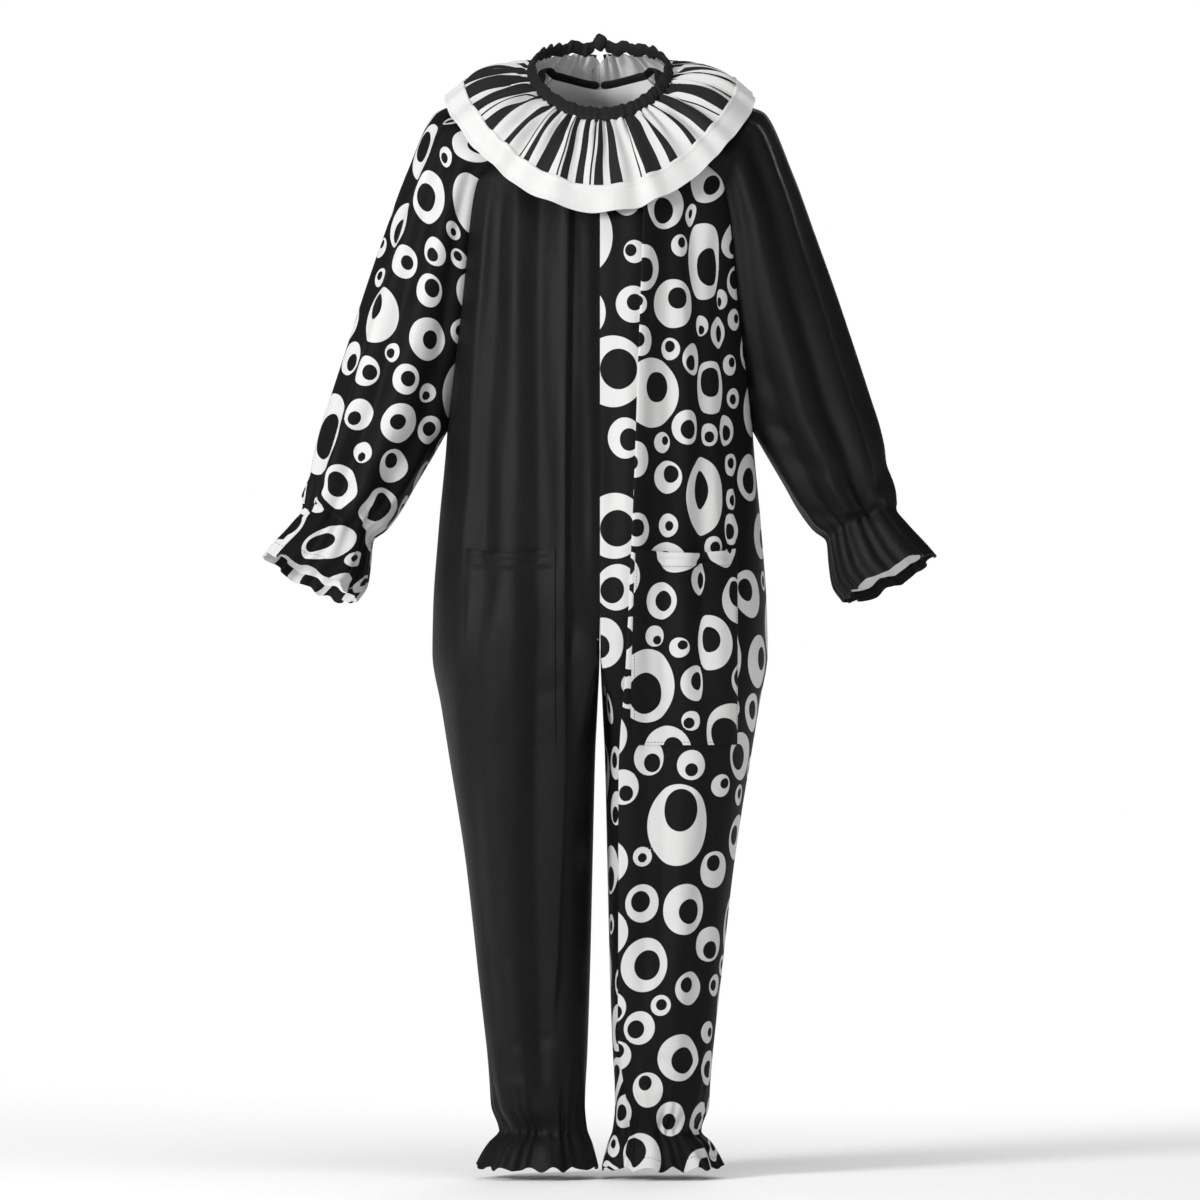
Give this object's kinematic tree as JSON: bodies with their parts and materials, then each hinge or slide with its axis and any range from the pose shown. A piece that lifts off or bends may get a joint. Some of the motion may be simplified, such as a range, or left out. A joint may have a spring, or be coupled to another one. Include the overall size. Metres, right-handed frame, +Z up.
{
  "type": "clown costume",
  "caption": "Half-black, half-printed clown jumpsuit with frilled cuffs and ankles, patch pockets and a striped ruff, filled out as worn.",
  "frame": {"origin": "middle of the neck opening at the height of the jumpsuit's neckline on the shoulders, where the wearer's neck comes out", "axes": "+Z up, the front faces -Y, +X to the wearer's left"},
  "size_m": [0.8508, 0.3117, 1.4463],
  "materials": {
    "black_knit": "soft knit",
    "printed_knit": "soft knit, printed",
    "striped_cloth": "striped",
    "white_cloth": "plain weave",
    "black_tape": "matt tape"
  },
  "bodies": {
    "root": {"front_right": "black_knit", "front_right_leg": "black_knit", "front_right_frill": "black_knit", "front_left": "printed_knit", "front_left_leg": "printed_knit", "front_left_frill": "printed_knit", "back_right": "black_knit", "back_right_leg": "black_knit", "back_right_frill": "black_knit", "back_left": "printed_knit", "back_left_leg": "printed_knit", "back_left_frill": "printed_knit", "sleeve_right": "printed_knit", "sleeve_left": "black_knit", "pocket_right": "black_knit", "pocket_left": "printed_knit", "neck_band": "black_tape", "ruff": "striped_cloth", "ruff_border": "white_cloth", "ruff_binding": "black_tape", "tie_knot": "black_tape", "tie_end_right": "black_tape", "tie_end_left": "black_tape"}
  },
  "joints": []
}
